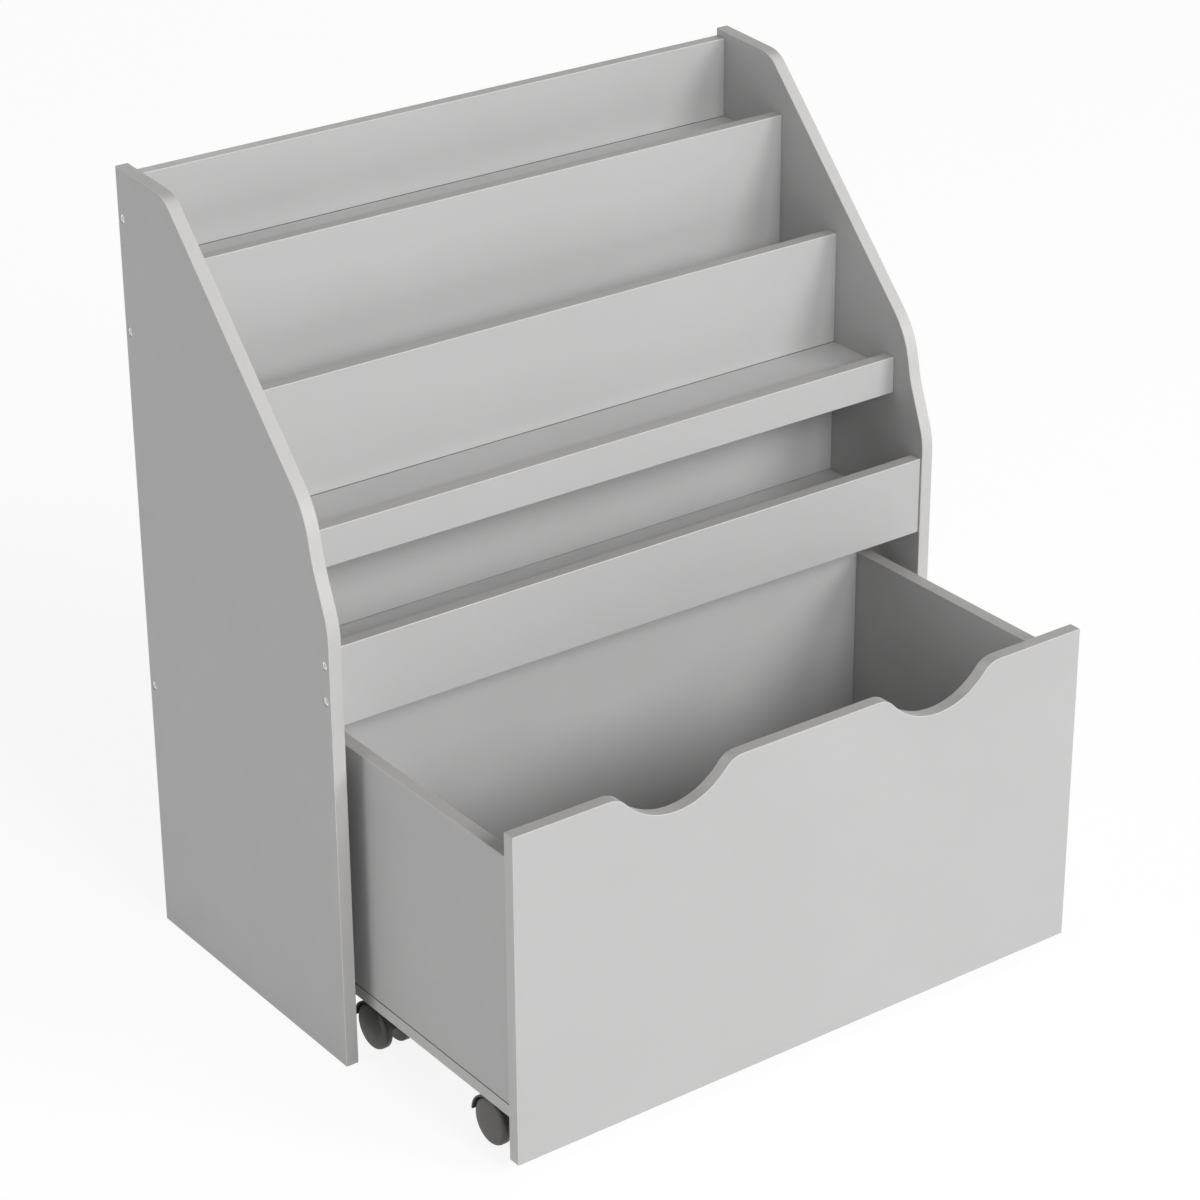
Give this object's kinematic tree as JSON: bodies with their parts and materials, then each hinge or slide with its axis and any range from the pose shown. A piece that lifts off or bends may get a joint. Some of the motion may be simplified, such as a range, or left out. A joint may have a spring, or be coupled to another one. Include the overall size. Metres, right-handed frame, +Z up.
{
  "type": "toy storage rack",
  "caption": "Child's board rack with stepped book tiers, an open shelf with a front rail, and a scalloped toy drawer that rolls out on twin-wheel casters.",
  "frame": {"origin": "on the floor, under the middle of the box round the whole object with its drawer pulled out as at rest", "axes": "+Z up, +X to the right seen from the front, +Y to the back of the rack; the drawer rolls out along -Y"},
  "size_m": [0.63, 0.516, 0.7099],
  "materials": {
    "grey_board": "matt grey melamine on board",
    "beech_dowel": "bare fluted beech",
    "zinc_screw": "bright zinc plated",
    "zinc_die_cast": "raw zinc die casting",
    "caster_steel": "zinc plated pressing",
    "caster_hood_plastic": "moulded dark grey nylon",
    "caster_wheel_plastic": "moulded grey nylon"
  },
  "bodies": {
    "rack": {"upper_back_panel": "grey_board", "lower_back_rail": "grey_board", "top_tier_front": "grey_board", "top_tier_floor": "grey_board", "middle_tier_front": "grey_board", "middle_tier_floor": "grey_board", "lower_tier_lip": "grey_board", "lower_tier_floor": "grey_board", "open_shelf_floor": "grey_board", "front_rail": "grey_board", "left_side_panel": "grey_board", "left_panel_screws": "zinc_screw", "left_dowels": "beech_dowel", "right_side_panel": "grey_board", "right_panel_screws": "zinc_screw", "right_dowels": "beech_dowel"},
    "drawer": {"drawer_left_side": "grey_board", "drawer_right_side": "grey_board", "drawer_front": "grey_board", "drawer_back": "grey_board", "drawer_bottom": "grey_board", "drawer_dowels": "beech_dowel", "drawer_cam_bolts": "zinc_die_cast", "drawer_cam_locks": "zinc_die_cast", "drawer_bottom_screws": "zinc_screw", "caster_plate_screws": "zinc_screw", "front_left_caster_plate": "caster_steel", "front_left_caster_kingpin": "caster_steel", "front_right_caster_plate": "caster_steel", "front_right_caster_kingpin": "caster_steel", "rear_left_caster_plate": "caster_steel", "rear_left_caster_kingpin": "caster_steel", "rear_right_caster_plate": "caster_steel", "rear_right_caster_kingpin": "caster_steel"},
    "front_left_caster_swivel": {"front_left_caster_hood": "caster_hood_plastic"},
    "front_left_caster_wheels": {"front_left_caster_axle": "caster_steel", "front_left_caster_left_wheel": "caster_wheel_plastic", "front_left_caster_right_wheel": "caster_wheel_plastic"},
    "front_right_caster_swivel": {"front_right_caster_hood": "caster_hood_plastic"},
    "front_right_caster_wheels": {"front_right_caster_axle": "caster_steel", "front_right_caster_left_wheel": "caster_wheel_plastic", "front_right_caster_right_wheel": "caster_wheel_plastic"},
    "rear_left_caster_swivel": {"rear_left_caster_hood": "caster_hood_plastic"},
    "rear_left_caster_wheels": {"rear_left_caster_axle": "caster_steel", "rear_left_caster_left_wheel": "caster_wheel_plastic", "rear_left_caster_right_wheel": "caster_wheel_plastic"},
    "rear_right_caster_swivel": {"rear_right_caster_hood": "caster_hood_plastic"},
    "rear_right_caster_wheels": {"rear_right_caster_axle": "caster_steel", "rear_right_caster_left_wheel": "caster_wheel_plastic", "rear_right_caster_right_wheel": "caster_wheel_plastic"}
  },
  "joints": [
    {"name": "drawer_roll", "type": "slide", "parent": "rack", "child": "drawer", "axis": [0, -1, 0], "range_m": [-0.218, 0.08]},
    {"name": "front_left_caster_swivel", "type": "hinge", "parent": "drawer", "child": "front_left_caster_swivel", "pos_m": [-0.2665, -0.19, 0.0444], "axis": [0, 0, 1], "continuous": true},
    {"name": "front_left_caster_roll", "type": "hinge", "parent": "front_left_caster_swivel", "child": "front_left_caster_wheels", "pos_m": [-0.2665, -0.202, 0.021], "axis": [1, 0, 0], "continuous": true},
    {"name": "front_right_caster_swivel", "type": "hinge", "parent": "drawer", "child": "front_right_caster_swivel", "pos_m": [0.2665, -0.19, 0.0444], "axis": [0, 0, 1], "continuous": true},
    {"name": "front_right_caster_roll", "type": "hinge", "parent": "front_right_caster_swivel", "child": "front_right_caster_wheels", "pos_m": [0.2665, -0.202, 0.021], "axis": [1, 0, 0], "continuous": true},
    {"name": "rear_left_caster_swivel", "type": "hinge", "parent": "drawer", "child": "rear_left_caster_swivel", "pos_m": [-0.2665, -0.016, 0.0444], "axis": [0, 0, 1], "continuous": true},
    {"name": "rear_left_caster_roll", "type": "hinge", "parent": "rear_left_caster_swivel", "child": "rear_left_caster_wheels", "pos_m": [-0.2665, -0.028, 0.021], "axis": [1, 0, 0], "continuous": true},
    {"name": "rear_right_caster_swivel", "type": "hinge", "parent": "drawer", "child": "rear_right_caster_swivel", "pos_m": [0.2665, -0.016, 0.0444], "axis": [0, 0, 1], "continuous": true},
    {"name": "rear_right_caster_roll", "type": "hinge", "parent": "rear_right_caster_swivel", "child": "rear_right_caster_wheels", "pos_m": [0.2665, -0.028, 0.021], "axis": [1, 0, 0], "continuous": true}
  ]
}
